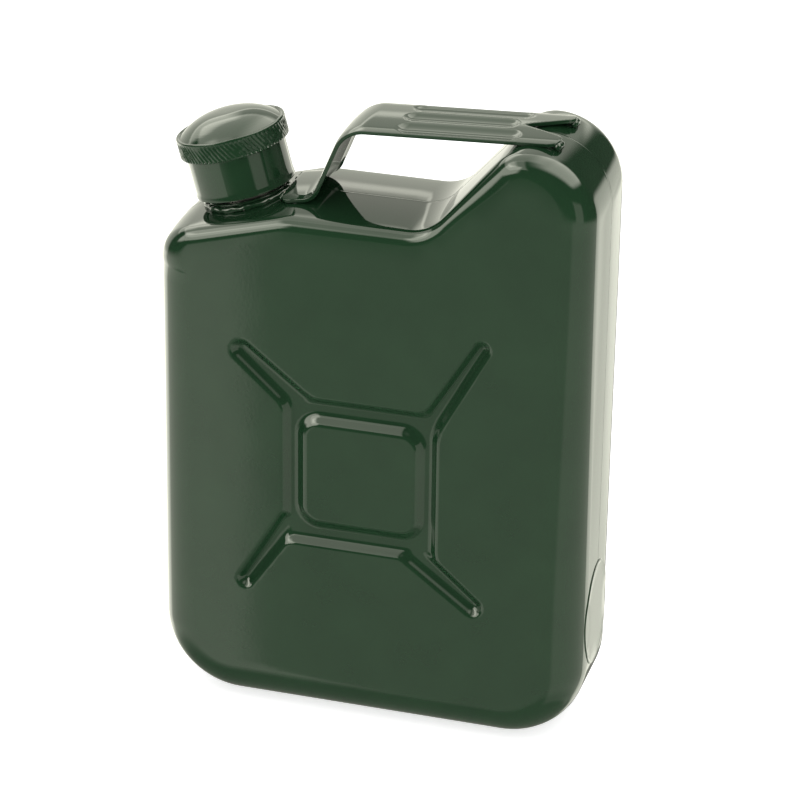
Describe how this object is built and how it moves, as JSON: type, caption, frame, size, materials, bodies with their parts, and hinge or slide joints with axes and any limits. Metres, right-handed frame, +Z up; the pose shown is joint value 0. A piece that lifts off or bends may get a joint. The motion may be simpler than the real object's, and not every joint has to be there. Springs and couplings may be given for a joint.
{
  "type": "pocket flask",
  "caption": "Flat pocket flask in enamelled sheet steel shaped like a fuel can, with a tilted screw neck, a knurled cap, a strap handle and a pressed cross.",
  "frame": {"origin": "centre of the flask's box at the level of its base", "axes": "+Z up, -Y out of the front face, -X towards the neck and cap, +X towards the welded end of the handle"},
  "size_m": [0.0906, 0.031, 0.1302],
  "materials": {
    "enamel": "glossy dark green enamel",
    "bare_steel": "bare machined stainless steel",
    "insert_plastic": "natural nylon",
    "seal_rubber": "black rubber"
  },
  "bodies": {
    "flask": {"front_shell": "enamel", "back_shell": "enamel", "seam_weld": "enamel", "neck": "bare_steel", "neck_collar": "enamel", "neck_weld": "enamel", "handle": "enamel", "front_prong_weld": "enamel", "rear_prong_weld": "enamel", "front_foot_weld": "enamel", "rear_foot_weld": "enamel", "side_label": "enamel"},
    "cap_seal": {"cap_washer": "seal_rubber"},
    "cap": {"cap_shell": "enamel", "cap_insert": "insert_plastic"}
  },
  "joints": [
    {"name": "cap_lift", "type": "slide", "parent": "flask", "child": "cap_seal", "axis": [-0.2605, 0, 0.9655], "range_m": [0, 0.0125]},
    {"name": "cap_turn", "type": "hinge", "parent": "cap_seal", "child": "cap", "pos_m": [-0.0295, 0, 0.10781], "axis": [-0.2605, 0, 0.9655], "range_deg": [0, 1800]}
  ],
  "couplings": [
    {"joint": "cap_lift", "follows": "cap_turn", "m_per_rad": 0.00039789}
  ]
}
